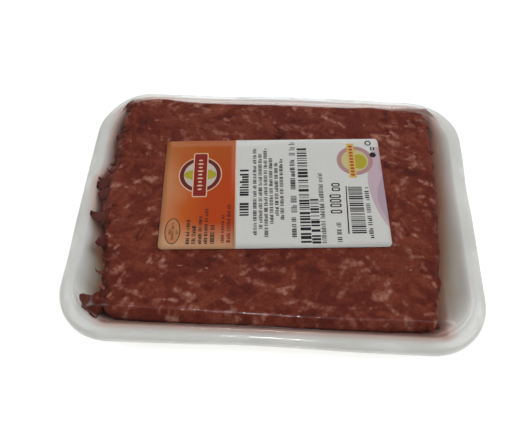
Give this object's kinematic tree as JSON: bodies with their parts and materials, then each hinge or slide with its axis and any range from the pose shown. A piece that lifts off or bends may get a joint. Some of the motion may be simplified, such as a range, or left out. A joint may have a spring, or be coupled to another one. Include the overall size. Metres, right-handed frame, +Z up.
{
  "type": "meat tray pack",
  "caption": "Minced meat in a rolled-lip foam tray, overwrapped in clear stretch film, with a printed paper label stuck on top.",
  "frame": {"origin": "middle of the underside, on the surface that the pack lies on", "axes": "+Z up, +X along the tray's long sides, +Y from the front side to the back side; the torn edge of the mince is at -X"},
  "size_m": [0.178, 0.133, 0.0309],
  "materials": {
    "foam": "white expanded foam, satin skin",
    "mince": "moist dark red minced meat with pale fat",
    "film": "clear glossy stretch film",
    "label_paper": "semi-gloss white paper with coloured print"
  },
  "bodies": {
    "root": {"foam_tray": "foam", "minced_meat": "mince", "film_wrap": "film", "paper_label": "label_paper"}
  },
  "joints": []
}
